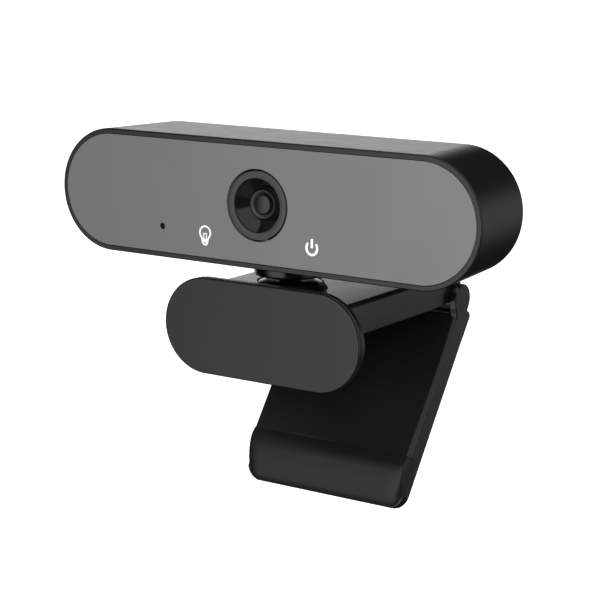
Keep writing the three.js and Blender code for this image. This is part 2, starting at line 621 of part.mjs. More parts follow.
const tab = [
  ...arcPoints(NECK.y, NECK.pivotZ, TAB.knuckle, 180, 360, 12),
  [NECK.y + TAB.stem, COLLAR.low + 0.5], [NECK.y - TAB.stem, COLLAR.low + 0.5],
];
piece(head, 'neck_collar', build([
  turned([
    [0, COLLAR.low], [COLLAR.radius - 0.5, COLLAR.low], [COLLAR.radius - 0.12, COLLAR.low + 0.15],
    [COLLAR.radius, COLLAR.low + 0.5], [COLLAR.radius, COLLAR.top - 0.3], [COLLAR.radius - 0.2, COLLAR.top],
    [COLLAR.stemR, COLLAR.top], [COLLAR.stemR, COLLAR.stemTop], [0, COLLAR.stemTop],
  ], 'z', neckAt, 48),
  plateYZ(tab, -TAB.half, TAB.half),
], [
  rod(TILT_PIN.radius + 0.1, -TAB.half - 1, TAB.half + 1, 'x', pivotAt, 16),
]), glossBlack);

const nutLow = HEAD.z - HEAD.radius + WALL + 0.1;
piece(head, 'collar_nut', build(
  [rod(4.4, nutLow, nutLow + 1.8, 'z', neckAt, 6)],
  [rod(COLLAR.stemR + 0.1, nutLow - 1, nutLow + 3, 'z', neckAt, 24)],
), steel);

export default part;
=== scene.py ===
"""Looks for the bar-shaped webcam on a folding clip. Metres, +Z up, the lens looks along -Y."""

import json
import math

import bmesh
import bpy
from mathutils import Matrix, Vector


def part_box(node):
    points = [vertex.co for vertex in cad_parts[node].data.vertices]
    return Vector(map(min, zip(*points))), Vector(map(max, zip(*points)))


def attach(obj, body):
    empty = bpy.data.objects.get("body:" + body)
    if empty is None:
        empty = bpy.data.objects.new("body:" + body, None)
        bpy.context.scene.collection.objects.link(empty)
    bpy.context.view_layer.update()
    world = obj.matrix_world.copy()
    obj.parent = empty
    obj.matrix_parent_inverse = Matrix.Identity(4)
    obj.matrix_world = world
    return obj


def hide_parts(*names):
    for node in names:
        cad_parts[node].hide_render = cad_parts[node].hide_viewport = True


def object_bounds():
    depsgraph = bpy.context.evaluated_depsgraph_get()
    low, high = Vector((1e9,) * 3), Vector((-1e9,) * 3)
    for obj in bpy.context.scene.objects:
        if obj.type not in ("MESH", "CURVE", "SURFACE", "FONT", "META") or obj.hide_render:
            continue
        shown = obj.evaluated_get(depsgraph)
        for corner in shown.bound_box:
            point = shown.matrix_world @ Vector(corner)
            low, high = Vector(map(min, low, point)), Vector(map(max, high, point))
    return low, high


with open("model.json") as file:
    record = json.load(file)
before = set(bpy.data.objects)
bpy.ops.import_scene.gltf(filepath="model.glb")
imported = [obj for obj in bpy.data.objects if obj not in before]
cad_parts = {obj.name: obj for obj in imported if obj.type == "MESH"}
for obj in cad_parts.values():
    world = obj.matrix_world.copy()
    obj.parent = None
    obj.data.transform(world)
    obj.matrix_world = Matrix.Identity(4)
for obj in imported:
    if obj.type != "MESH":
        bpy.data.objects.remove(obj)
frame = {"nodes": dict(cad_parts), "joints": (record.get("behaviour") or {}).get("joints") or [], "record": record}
CAD_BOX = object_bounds()
NODES = frame["nodes"]
MM = 0.001


# ------------------------------------------------------------------ node helpers


def node(tree, kind, **inputs):
    """Adds a node; inputs are given by socket name with _ for a space."""
    made = tree.nodes.new(kind)
    for key, value in inputs.items():
        made.inputs[key.replace("_", " ")].default_value = value
    return made


def wire(tree, source, out, target, into):
    tree.links.new(source.outputs[out], target.inputs[into])


def object_coordinates(tree):
    return tree.nodes.new("ShaderNodeTexCoord")


def noise(tree, coords, scale, detail=2.0, roughness=0.5):
    made = tree.nodes.new("ShaderNodeTexNoise")
    made.inputs["Scale"].default_value = scale
    made.inputs["Detail"].default_value = detail
    made.inputs["Roughness"].default_value = roughness
    tree.links.new(coords.outputs["Object"], made.inputs["Vector"])
    return made


def spread(tree, source, out, low, high):
    """Maps a 0..1 value to low..high."""
    made = tree.nodes.new("ShaderNodeMapRange")
    made.inputs["To Min"].default_value = low
    made.inputs["To Max"].default_value = high
    tree.links.new(source.outputs[out], made.inputs["Value"])
    return made


BROAD_SCALE, GLOSS_SCALE, SCUFF_SCALE = 55.0, 210.0, 900.0
GLOSS_SPREAD = 0.04
WORN_EDGE = (0.52, 0.62)


def plastic(name, dark, light, rough, grain=0.02, grain_scale=4500.0, wear=0.0, **sockets):
    """Moulded plastic: mottled colour, uneven gloss, fine texture and paler edges."""
    material = bpy.data.materials.new(name)
    material.use_nodes = True
    tree = material.node_tree
    shader = tree.nodes["Principled BSDF"]
    coords = object_coordinates(tree)
    broad = noise(tree, coords, BROAD_SCALE, 3.0)
    colour = tree.nodes.new("ShaderNodeMix")
    colour.data_type = "RGBA"
    colour.inputs["A"].default_value = (*dark, 1)
    colour.inputs["B"].default_value = (*light, 1)
    wire(tree, broad, "Fac", colour, "Factor")
    final = colour
    if wear:
        geometry = tree.nodes.new("ShaderNodeNewGeometry")
        edge = node(tree, "ShaderNodeMapRange", From_Min=WORN_EDGE[0], From_Max=WORN_EDGE[1])
        wire(tree, geometry, "Pointiness", edge, "Value")
        broken = node(tree, "ShaderNodeMath", Value=0.0)
        broken.operation = "MULTIPLY"
        scuffs = spread(tree, noise(tree, coords, SCUFF_SCALE, 4.0, 0.7), "Fac", 0.0, wear)
        wire(tree, edge, "Result", broken, 0)
        wire(tree, scuffs, "Result", broken, 1)
        worn = tree.nodes.new("ShaderNodeMix")
        worn.data_type = "RGBA"
        worn.inputs["B"].default_value = (*[min(1.0, c * 3 + 0.05) for c in light], 1)
        wire(tree, colour, "Result", worn, "A")
        wire(tree, broken, "Value", worn, "Factor")
        final = worn
    wire(tree, final, "Result", shader, "Base Color")
    uneven = noise(tree, coords, GLOSS_SCALE, 4.0, 0.6)
    gloss = spread(tree, uneven, "Fac", rough - GLOSS_SPREAD, rough + GLOSS_SPREAD)
    wire(tree, gloss, "Result", shader, "Roughness")
    if grain:
        fine = noise(tree, coords, grain_scale, 2.0)
        bump = node(tree, "ShaderNodeBump", Strength=1.0, Distance=grain * MM)
        wire(tree, fine, "Fac", bump, "Height")
        wire(tree, bump, "Normal", shader, "Normal")
    for key, value in sockets.items():
        shader.inputs[key.replace("_", " ")].default_value = value
    return material


def metal(name, colour, rough, scale=2600.0):
    """Turned or plated metal with a fine grain bump."""
    return plastic(name, [c * 0.9 for c in colour], colour, rough, 0.004, scale, Metallic=1.0)


MATERIALS = {
    "satin_black": plastic("satin_black", (0.005, 0.005, 0.0053), (0.008, 0.008, 0.0083), 0.24, 0.004,
                           wear=0.1),
    "gloss_black": plastic("gloss_black", (0.003, 0.003, 0.0032), (0.005, 0.005, 0.0052), 0.13, 0.001),
    "panel_grey": plastic("panel_grey", (0.112, 0.112, 0.114), (0.126, 0.126, 0.128), 0.36, 0.003, 6000.0),
    "ring_grey": plastic("ring_grey", (0.024, 0.024, 0.025), (0.03, 0.03, 0.031), 0.34, 0.003, 6000.0),
    "rubber_black": plastic("rubber_black", (0.005, 0.005, 0.005), (0.008, 0.008, 0.008), 0.38, 0.006, 5000.0,
                            Specular_IOR_Level=0.36),
    "front_glass": plastic("front_glass", (0.004, 0.004, 0.005), (0.006, 0.006, 0.008), 0.14, 0.0),
    "steel": metal("steel", (0.55, 0.55, 0.56), 0.3),
    "brass": metal("brass", (0.62, 0.46, 0.2), 0.34),
    "board_green": plastic("board_green", (0.012, 0.07, 0.035), (0.02, 0.1, 0.05), 0.4, 0.01, 1800.0),
    "chip_black": plastic("chip_black", (0.02, 0.02, 0.022), (0.03, 0.03, 0.032), 0.5, 0.01),
    "symbol_white": plastic("symbol_white", (0.82, 0.82, 0.82), (0.9, 0.9, 0.9), 0.4, 0.002),
    "clear_plastic": plastic("clear_plastic", (0.7, 0.72, 0.74), (0.8, 0.82, 0.84), 0.15, 0.002),
    "header_white": plastic("header_white", (0.75, 0.72, 0.64), (0.85, 0.82, 0.74), 0.5, 0.008),
}
SLOT_OF = {row["node"]: row["material_slot"] for row in frame["record"]["subparts"]}
SMOOTH_BELOW = math.radians(32)
WELD_DISTANCE = 0.002 * MM


def paint(obj, material):
    obj.data.materials.clear()
    obj.data.materials.append(material)


def smoothing_group():
    """Welds an imported node's split vertices and shades it smooth except over sharp edges."""
    tree = bpy.data.node_groups.new("smooth_by_angle", "GeometryNodeTree")
    tree.interface.new_socket("Geometry", in_out="INPUT", socket_type="NodeSocketGeometry")
    tree.interface.new_socket("Geometry", in_out="OUTPUT", socket_type="NodeSocketGeometry")
    start = tree.nodes.new("NodeGroupInput")
    end = tree.nodes.new("NodeGroupOutput")
    bare = tree.nodes.new("GeometryNodeRemoveAttribute")
    bare.inputs["Name"].default_value = "custom_normal"
    weld = tree.nodes.new("GeometryNodeMergeByDistance")
    weld.inputs["Distance"].default_value = WELD_DISTANCE
    faces = tree.nodes.new("GeometryNodeSetShadeSmooth")
    faces.domain = "FACE"
    faces.inputs["Shade Smooth"].default_value = True
    edges = tree.nodes.new("GeometryNodeSetShadeSmooth")
    edges.domain = "EDGE"
    angle = tree.nodes.new("GeometryNodeInputMeshEdgeAngle")
    small = tree.nodes.new("FunctionNodeCompare")
    small.data_type = "FLOAT"
    small.operation = "LESS_THAN"
    small.inputs["B"].default_value = SMOOTH_BELOW
    wire(tree, angle, "Unsigned Angle", small, "A")
    wire(tree, small, "Result", edges, "Shade Smooth")
    chain = [start, bare, weld, faces, edges, end]
    for first, second in zip(chain, chain[1:]):
        tree.links.new(first.outputs["Geometry"], second.inputs["Geometry"])
    return tree


SMOOTH = smoothing_group()


def dress(name):
    """Gives a carried-over CAD node its material and smooth shading."""
    obj = NODES[name]
    paint(obj, MATERIALS[SLOT_OF[name]])
    smooth = obj.modifiers.new("smooth", "NODES")
    smooth.node_group = SMOOTH


for name in NODES:
    dress(name)

# ------------------------------------------------------------------ mesh helpers, in millimetres


def finish_mesh(name, bm, body, slot, sharp_deg=35.0):
    """Turns a bmesh in millimetres into a shaded piece in metres that rides on a body."""
    bmesh.ops.remove_doubles(bm, verts=bm.verts, dist=0.0005)
    bmesh.ops.recalc_face_normals(bm, faces=bm.faces)
    bmesh.ops.scale(bm, vec=(MM, MM, MM), verts=bm.verts)
    mesh = bpy.data.meshes.new(name)
    bm.to_mesh(mesh)
    bm.free()
    for face in mesh.polygons:
        face.use_smooth = True
    mesh.set_sharp_from_angle(angle=math.radians(sharp_deg))
    obj = bpy.data.objects.new(name, mesh)
    bpy.context.scene.collection.objects.link(obj)
    if body:
        weighted = obj.modifiers.new("weighted", "WEIGHTED_NORMAL")
        weighted.keep_sharp = True
        weighted.weight = 60
        paint(obj, MATERIALS[slot])
        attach(obj, body)
    return obj


def skin(rings, closed=False):
    """Quads between rings of equal length; an open skin gets a flat face at both ends."""
    bm = bmesh.new()
    rows = [[bm.verts.new(point) for point in ring] for ring in rings]
    count = len(rings[0])
    last = len(rows) if closed else len(rows) - 1
    for r in range(last):
        low_row, high_row = rows[r], rows[(r + 1) % len(rows)]
        for i in range(count):
            j = (i + 1) % count
            bm.faces.new((low_row[i], low_row[j], high_row[j], high_row[i]))
    if not closed:
        bm.faces.new(rows[0])
        bm.faces.new(list(reversed(rows[-1])))
    return bm


def stadium(half, radius, y, z, arc=40):
    """Outline with straight long sides and round ends, in a plane of constant Y."""
    ring = []
    for side, start in ((1, -90), (-1, 90)):
        for i in range(arc + 1):
            t = math.radians(start + 180 * i / arc)
            ring.append((side * half + radius * math.cos(t), y, z + radius * math.sin(t)))
    return ring


def lathe(profile, axis, at, segments=96):
    """Turned body; the profile lists (radius, height) and starts and ends on the axis or closes."""
    bm = bmesh.new()
    rows = []
    for radius, height in profile:
        if radius < 1e-6:
            rows.append([bm.verts.new(place(axis, 0, 0, height, at))])
            continue
        rows.append([
            bm.verts.new(place(axis, radius * math.cos(t), radius * math.sin(t), height, at))
            for t in (2 * math.pi * i / segments for i in range(segments))])
    for first, second in zip(rows, rows[1:]):
        for i in range(segments):
            j = (i + 1) % segments
            near = (first[i % len(first)], first[j % len(first)])
            far = (second[j % len(second)], second[i % len(second)])
            unique = list(dict.fromkeys(near + far))
            if len(unique) > 2:
                bm.faces.new(unique)
    return bm


def place(axis, u, v, height, at):
    if axis == "z":
        return (at[0] + u, at[1] + v, at[2] + height)
    if axis == "y":
        return (at[0] + u, at[1] + height, at[2] + v)
    return (at[0] + height, at[1] + u, at[2] + v)


def fillet(cx, cy, radius, start, end, steps=5):
    """Points of an arc about (cx, cy), angles in degrees."""
    turns = [math.radians(start + (end - start) * i / steps) for i in range(steps + 1)]
    return [(cx + radius * math.cos(t), cy + radius * math.sin(t)) for t in turns]


def prism(outline, axis, low_end, high_end):
    """Straight body with an outline in the other two axes."""
    bm = bmesh.new()
    rows = []
    for end in (low_end, high_end):
        if axis == "x":
            rows.append([bm.verts.new((end, u, v)) for u, v in outline])
        elif axis == "y":
            rows.append([bm.verts.new((u, end, v)) for u, v in outline])
        else:
            rows.append([bm.verts.new((u, v, end)) for u, v in outline])
    count = len(outline)
    for i in range(count):
        j = (i + 1) % count
        bm.faces.new((rows[0][i], rows[0][j], rows[1][j], rows[1][i]))
    bm.faces.new(rows[0])
    bm.faces.new(list(reversed(rows[1])))
    bmesh.ops.recalc_face_normals(bm, faces=bm.faces)
    return bm


def rounded_rect(x0, x1, z0, z1, radius, steps=6):
    return (fillet(x1 - radius, z0 + radius, radius, -90, 0, steps)
            + fillet(x1 - radius, z1 - radius, radius, 0, 90, steps)
            + fillet(x0 + radius, z1 - radius, radius, 90, 180, steps)
            + fillet(x0 + radius, z0 + radius, radius, 180, 270, steps))


def circle(cx, cz, radius, count=64):
    turns = [2 * math.pi * i / count for i in range(count)]
    return [(cx + radius * math.cos(t), cz + radius * math.sin(t)) for t in turns]


def combine(add, cut=(), keep=()):
    """Joins the first bmeshes, cuts the next out of them and keeps what lies inside the last ones."""
    def scratch(bm):
        mesh = bpy.data.meshes.new("scratch")
        bmesh.ops.recalc_face_normals(bm, faces=bm.faces)
        bm.to_mesh(mesh)
        bm.free()
        obj = bpy.data.objects.new("scratch", mesh)
        bpy.context.scene.collection.objects.link(obj)
        return obj

    base = scratch(add[0])
    others = [(scratch(bm), "UNION") for bm in add[1:]] + [(scratch(bm), "DIFFERENCE") for bm in cut]
    others += [(scratch(bm), "INTERSECT") for bm in keep]
    for other, operation in others:
        step = base.modifiers.new(operation, "BOOLEAN")
        step.operation = operation
        step.solver = "EXACT"
        step.object = other
    bpy.context.view_layer.update()
    shaped = base.evaluated_get(bpy.context.evaluated_depsgraph_get())
    out = bmesh.new()
    out.from_mesh(shaped.to_mesh())
    shaped.to_mesh_clear()
    for other, _ in others:
        bpy.data.objects.remove(other)
    bpy.data.objects.remove(base)
    bmesh.ops.dissolve_limit(out, angle_limit=math.radians(0.05), verts=out.verts, edges=out.edges)
    return out


def soften(obj, width, segments=2, angle=38.0):
    """Small round edge on every crease of a piece."""
    bevel = obj.modifiers.new("edges", "BEVEL")
    bevel.width = width * MM
    bevel.segments = segments
    bevel.limit_method = "ANGLE"
    bevel.angle_limit = math.radians(angle)
    bevel.harden_normals = False
    bevel.use_clamp_overlap = True
    names = [m.name for m in obj.modifiers]
    if "weighted" in names:
        obj.modifiers.move(len(names) - 1, names.index("weighted"))
    return obj


def round_edges(bm, width, beyond, segments=5, angle=38.0):
    """Rounds the edges sharper than the angle that lie further from the middle plane than the distance."""
    sharp = [e for e in bm.edges
             if e.calc_face_angle(0) > math.radians(angle) and all(abs(v.co.x) > beyond for v in e.verts)]
    bmesh.ops.bevel(bm, geom=sharp, offset=width, segments=segments, profile=0.5, affect="EDGES",
                    clamp_overlap=True)
    return bm


def flat_outline(name, outlines, y_front, thick, edge, body, slot):
    """Plate with holes in a plane of constant Y: the first outline is the rim, the others are holes."""
    curve = bpy.data.curves.new(name, "CURVE")
    curve.dimensions = "2D"
    curve.fill_mode = "BOTH"
    curve.extrude = (thick / 2 - edge) * MM
    curve.bevel_depth = edge * MM
    curve.bevel_resolution = 2
    curve.offset = -edge * MM
    for outline in [outlines[0]] + [list(reversed(hole)) for hole in outlines[1:]]:
        spline = curve.splines.new("POLY")
        spline.points.add(len(outline) - 1)
        for point, (x, z) in zip(spline.points, outline):
            point.co = (x * MM, z * MM, 0, 1)
        spline.use_cyclic_u = True
    scratch = bpy.data.objects.new("scratch", curve)
    bpy.context.scene.collection.objects.link(scratch)
    middle = Matrix.Translation((0, (y_front + thick / 2) * MM, 0))
    scratch.matrix_world = middle @ Matrix.Rotation(math.pi / 2, 4, "X")
    bpy.context.view_layer.update()
    shaped = scratch.evaluated_get(bpy.context.evaluated_depsgraph_get())
    bm = bmesh.new()
    bm.from_mesh(shaped.to_mesh())
    to_mm = Matrix.Diagonal((1 / MM, 1 / MM, 1 / MM, 1))
    bmesh.ops.transform(bm, matrix=to_mm @ scratch.matrix_world, verts=bm.verts)
    shaped.to_mesh_clear()
    bpy.data.objects.remove(scratch)
    return finish_mesh(name, bm, body, slot)


def strokes(name, lines, width):
    """White print on the face: each line of points in the XZ plane becomes a low rounded ribbon."""
    merged = bmesh.new()
    for points in lines:
        curve = bpy.data.curves.new("line", "CURVE")
        curve.dimensions = "3D"
        curve.bevel_depth = width / 2
        curve.bevel_resolution = 3
        curve.use_fill_caps = True
        spline = curve.splines.new("POLY")
        spline.points.add(len(points) - 1)
        for point, (x, z) in zip(spline.points, points):
            point.co = (x, 0, z, 1)
        obj = bpy.data.objects.new("line", curve)
        bpy.context.scene.collection.objects.link(obj)
        bpy.context.view_layer.update()
        shaped = obj.evaluated_get(bpy.context.evaluated_depsgraph_get())
        mesh = shaped.to_mesh()
        merged.from_mesh(mesh)
        shaped.to_mesh_clear()
        bpy.data.objects.remove(obj)
    flatten = Matrix.Diagonal((1, 2 * PRINT_HEIGHT / width, 1, 1))
    bmesh.ops.transform(merged, matrix=Matrix.Translation((0, HEAD_FRONT, 0)) @ flatten, verts=merged.verts)
    return finish_mesh(name, merged, "head", "symbol_white")


def box_mm(name):
    low_corner, high_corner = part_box(name)
    return [c / MM for c in low_corner], [c / MM for c in high_corner]


# ------------------------------------------------------------------ head

shell_low, shell_high = box_mm("housing_shell")
mic_low, mic_high = box_mm("mic_gasket")
HEAD_R = (shell_high[2] - shell_low[2]) / 2
HEAD_Z = (shell_high[2] + shell_low[2]) / 2
HEAD_HALF = shell_high[0] - HEAD_R
HEAD_FRONT = shell_low[1]
HEAD_BACK = shell_high[1]
HEAD_DEPTH = HEAD_BACK - HEAD_FRONT
HEAD_TAPER = 2.2
RIM, WALL, BACK_EDGE = 1.06, 1.8, 1.3
PANEL_THICK = 1.6
LENS_HOLE, MIC_HOLE = 7.3, 0.68
MIC_AT = ((mic_low[0] + mic_high[0]) / 2, (mic_low[2] + mic_high[2]) / 2)
PRINT_HEIGHT = 0.03


def head_ring(offset, depth):
    half = HEAD_HALF - HEAD_TAPER * depth / HEAD_DEPTH
    return stadium(half, HEAD_R - offset, HEAD_FRONT + depth, HEAD_Z, 48)


def make_shell():
    """Hollow shell: a rim round the panel, a fine groove behind it, straight sides and a round back edge."""
    rim = [(RIM, PANEL_THICK + 0.3), (RIM, 0.08), (RIM - 0.03, 0.02), (RIM - 0.08, 0)]
    rim += fillet(0.34, 0.32, 0.32, -90, -170, 6)
    groove = [(0.03, 0.36), (0.13, 0.42), (0.13, 0.52), (0.02, 0.58), (0, 0.64)]
    side = [(0, 1.2), (0, 4), (0, 12), (0, 18)]
    back = fillet(BACK_EDGE, HEAD_DEPTH - BACK_EDGE, BACK_EDGE, 180, 90, 7)
    back += [(WALL - 0.1, HEAD_DEPTH), (WALL - 0.02, HEAD_DEPTH - 0.04), (WALL, HEAD_DEPTH - 0.12)]
    inside = [(WALL, HEAD_DEPTH - 3), (WALL, 3.1), (WALL + 0.7, 3.1), (WALL + 0.7, PANEL_THICK + 0.3)]
    rings = [head_ring(offset, depth) for offset, depth in rim + groove + side + back + inside]
    obj = finish_mesh("head_shell", skin(rings, True), "head", "satin_black")
    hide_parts("housing_shell")


def make_face():
    radius = HEAD_R - RIM - 0.1
    outer = [(x, z) for x, _, z in stadium(HEAD_HALF, radius, 0, HEAD_Z, 64)]
    outlines = [outer, circle(0, HEAD_Z, LENS_HOLE, 128), circle(*MIC_AT, MIC_HOLE, 32)]
    obj = flat_outline("face_plate", outlines, HEAD_FRONT, PANEL_THICK, 0.07, "head", "panel_grey")
    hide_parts("front_panel")


def make_bulb():
    """Light-bulb print: an open globe with a cap, two thread lines and a fine filament."""
    low_corner, high_corner = box_mm("bulb_symbol")
    cx = (low_corner[0] + high_corner[0]) / 2
    top = high_corner[2]
    r = 1.31
    cz = top - r - 0.17
    arc = [math.radians(a) for a in range(-52, 233, 6)]
    globe = [(cx + 0.66, cz - 1.85), (cx + 0.68, cz - 1.5)]
    globe += [(cx + r * math.cos(t), cz + r * math.sin(t)) for t in arc]
    globe += [(cx - 0.68, cz - 1.5), (cx - 0.66, cz - 1.85)]
    cap = [(cx - 0.66, cz - 1.85), (cx - 0.55, cz - 2.2), (cx - 0.2, cz - 2.45), (cx + 0.2, cz - 2.45),
           (cx + 0.55, cz - 2.2), (cx + 0.66, cz - 1.85)]
    low_thread = [(cx - 0.62, cz - 1.72), (cx + 0.62, cz - 1.98)]
    high_thread = [(cx - 0.62, cz - 1.42), (cx + 0.62, cz - 1.5)]
    filament = [(cx - 0.3, cz - 1.35), (cx - 0.34, cz - 0.55), (cx - 0.48, cz - 0.1), (cx - 0.16, cz - 0.32),
                (cx, cz - 0.08), (cx + 0.16, cz - 0.32), (cx + 0.48, cz - 0.1), (cx + 0.34, cz - 0.55),
                (cx + 0.3, cz - 1.35)]
    bulb = strokes("bulb_print", [globe, cap, low_thread, high_thread], 0.37)
    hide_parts("bulb_symbol")
    strokes("bulb_filament", [filament], 0.22)


def make_power_sign():
    low_corner, high_corner = box_mm("power_ring")
    px = (low_corner[0] + high_corner[0]) / 2
    pz = low_corner[2] + 1.72
    turns = [math.radians(a) for a in range(136, 405, 6)]
    arc = [(px + 1.24 * math.cos(t), pz + 1.34 * math.sin(t)) for t in turns]
    ring = strokes("power_print", [arc], 0.5)
    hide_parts("power_ring")
    low_corner, high_corner = box_mm("power_bar")
    bar = strokes("power_bar_print", [[(px, low_corner[2] + 0.2), (px, high_corner[2] - 0.2)]], 0.52)
    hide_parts("power_bar")


def make_rear():
    outer = [(x, z) for x, _, z in stadium(HEAD_HALF - HEAD_TAPER, HEAD_R - WALL - 0.12, 0, HEAD_Z, 64)]
    low_corner, high_corner = box_mm("cable_grommet")
    cx = (low_corner[0] + high_corner[0]) / 2
    cz = (low_corner[2] + high_corner[2]) / 2
    outlines = [outer, circle(cx, cz, 2.7, 48)]
    plate = flat_outline("rear_plate", outlines, HEAD_BACK - 1.6, 1.4, 0.25, "head", "satin_black")
    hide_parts("rear_cover")
    bore, rim = 1.75, 3.5
    y = high_corner[1]
    profile = [(bore, y - 4), (bore, y - 0.25), (bore + 0.07, y - 0.08), (bore + 0.25, y)]
    profile += [(rim - 0.75, y), (rim - 0.45, y - 0.1), (rim - 0.15, y - 0.4), (rim, y - 0.7)]
    profile += [(rim - 0.05, y - 0.8), (2.6, y - 0.8), (2.6, y - 2.6)]
    profile += [(3.4, y - 2.7), (3.4, y - 4), (bore, y - 4)]
    bush = finish_mesh("inlet_bush", lathe(profile, "y", (cx, 0, cz), 64), "head", "rubber_black")
    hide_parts("cable_grommet")


LENS_AT = (0, 0, HEAD_Z)


def make_lens_ring():
    f = HEAD_FRONT
    ring = [(5.5, f + 0.6), (5.5, f + 0.14)] + fillet(5.62, f + 0.12, 0.12, 180, 270, 4)
    ring += [(6.3, f)] + fillet(6.78, f + 0.18, 0.18, -90, 0, 5) + [(6.96, f + 1.2), (6.96, f + 4.5)]
    ring += [(5.9, f + 4.5), (5.9, f + 0.6), (5.5, f + 0.6)]
    obj = finish_mesh("lens_bezel", lathe(ring, "y", LENS_AT, 128), "head", "ring_grey")
    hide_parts("lens_ring")


def make_lens_cone():
    """Funnel with faint steps from its wide mouth down to the barrel."""
    f = HEAD_FRONT
    mouth_r, mouth_depth, throat_r, throat_depth = 5.3, 0.36, 3.1, 2.3
    cone = [(5.4, f + 0.72), (5.4, f + 0.34), (5.34, f + 0.32)]
    steps = 6
    for i in range(steps):
        radius = mouth_r - (mouth_r - throat_r) * i / steps
        depth = mouth_depth + (throat_depth - mouth_depth) * i / steps
        cone += [(radius, f + depth), (radius - 0.06, f + depth + 0.07)]
    cone += [(3.08, f + 2.3), (3.05, f + 2.36), (3.05, f + 4.4)]
    cone += [(5.8, f + 4.4), (5.8, f + 0.72), (5.4, f + 0.72)]
    obj = finish_mesh("lens_funnel", lathe(cone, "y", LENS_AT, 128), "head", "gloss_black")
    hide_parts("lens_cone")


def make_lens_barrel():
    f = HEAD_FRONT
    barrel = [(2.05, f + 3.9), (2.05, f + 2.72), (2.1, f + 2.64), (2.76, f + 2.12), (2.84, f + 2.1)]
    barrel += [(2.9, f + 2.17), (2.9, f + 9.2), (1.2, f + 9.2), (1.2, f + 3.9), (2.05, f + 3.9)]
    obj = finish_mesh("lens_tube", lathe(barrel, "y", LENS_AT, 96), "head", "ring_grey")
    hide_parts("lens_barrel")


def make_lens_glass():
    """Front element: a shallow dome with a round shoulder."""
    f = HEAD_FRONT
    dome_r, dome_depth, sag = 1.8, 1.7, 0.17
    dome = [(dome_r * s, f + dome_depth + sag * s * s) for s in (0, 0.15, 0.3, 0.45, 0.6, 0.75, 0.9, 1.0)]
    dome += [(1.9, f + 1.93), (1.98, f + 2.06), (2.0, f + 2.25), (2.0, f + 3.8), (0, f + 3.8)]
    obj = finish_mesh("lens_dome", lathe(dome, "y", LENS_AT, 96), "head", "front_glass")
    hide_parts("lens_glass")


def make_mic_port():
    """Dished plug behind the microphone hole."""
    f = HEAD_FRONT
    dish = [(0, f + 0.9), (0.4, f + 0.86), (0.56, f + 0.6), (0.6, f + 0.3), (0.63, f + 0.24)]
    dish += [(0.66, f + 0.24), (0.67, f + 0.28), (0.67, f + 1.5), (0, f + 1.5)]
    at = (MIC_AT[0], 0, MIC_AT[1])
    finish_mesh("mic_port", lathe(dish, "y", at, 40), "head", "rubber_black")


make_shell()
make_face()
make_mic_port()
make_bulb()
make_power_sign()
make_rear()
make_lens_ring()
make_lens_cone()
make_lens_barrel()
make_lens_glass()

# ------------------------------------------------------------------ neck

collar_low, collar_high = box_mm("neck_collar")
base_low, base_high = box_mm("swivel_base")
NECK_Y = (collar_low[1] + collar_high[1]) / 2
PIVOT_Z = 8.0
PIVOT_AT = (0, NECK_Y, PIVOT_Z)


PIN_R = 0.8
NECK_AT = (0, NECK_Y, 0)


def pin_bore(half_length):
    rod = [(0, -half_length), (PIN_R, -half_length), (PIN_R, half_length), (0, half_length)]
    return lathe(rod, "x", PIVOT_AT, 24)


def make_collar():
    """Round cup under the head with a knuckle that reaches down to the cross pin."""
    r = (collar_high[0] - collar_low[0]) / 2
    low_z = 10.35
    top_z = HEAD_Z - HEAD_R - 0.1
    knuckle_r = 1.5
    profile = [(0, low_z), (r - 0.62, low_z), (r - 0.3, low_z + 0.06), (r - 0.09, low_z + 0.22)]
    profile += [(r, low_z + 0.5), (r, low_z + 1.2), (r, top_z - 0.1), (r - 0.03, top_z - 0.03)]
    profile += [(r - 0.1, top_z), (2.5, top_z), (2.5, collar_high[2]), (0, collar_high[2])]
    knuckle = fillet(NECK_Y, PIVOT_Z, knuckle_r, 180, 360, 16)
    knuckle += [(NECK_Y + knuckle_r, low_z + 0.5), (NECK_Y - knuckle_r, low_z + 0.5)]
    cup = combine([lathe(profile, "z", NECK_AT), prism(knuckle, "x", -1.7, 1.7)], [pin_bore(3)])
    obj = finish_mesh("collar_cup", cup, "head", "gloss_black")
    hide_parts("neck_collar")


def make_swivel():
    """Flared base on the arm, slotted for the knuckle and bored for the pin and the pan screw."""
    foot = (base_high[0] - base_low[0]) / 2
    flare_z, top_z = 7.2, base_high[2]
    top_r, hub_r = 6.65, 4.6
    profile = [(0, base_low[2]), (hub_r, base_low[2]), (hub_r, flare_z)]
    profile += [(foot - 0.35, flare_z), (foot - 0.1, flare_z + 0.08), (foot, flare_z + 0.28)]
    profile += [(foot - 0.06, flare_z + 0.48), (foot - 0.22, flare_z + 0.7), (top_r + 0.68, flare_z + 0.98)]
    profile += [(top_r + 0.46, flare_z + 1.35), (top_r + 0.3, flare_z + 1.75), (top_r + 0.16, top_z - 0.86)]
    profile += [(top_r + 0.04, top_z - 0.72), (top_r - 0.14, top_z - 0.62), (hub_r, top_z), (0, top_z)]
    low_y, high_y = NECK_Y - 3.2, NECK_Y + 3.2
    slot_box = prism([(-2, low_y), (2, low_y), (2, high_y), (-2, high_y)], "z", 6.2, 12)
    screw = lathe([(0, 2), (1.35, 2), (1.35, 6.0), (0, 6.0)], "z", NECK_AT, 32)
    cup = combine([lathe(profile, "z", NECK_AT)], [slot_box, pin_bore(4.4), screw])
    obj = finish_mesh("swivel_cup", cup, "swivel", "gloss_black")
    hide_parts("swivel_base")


make_collar()
make_swivel()

# ------------------------------------------------------------------ clip

face_low, face_high = box_mm("clip_face")
STOP_R = (face_high[2] - face_low[2]) / 2
STOP_Z = (face_high[2] + face_low[2]) / 2
STOP_HALF = face_high[0] - STOP_R


def stop_ring(offset, y):
    return stadium(STOP_HALF, STOP_R - offset, y, STOP_Z, 48)


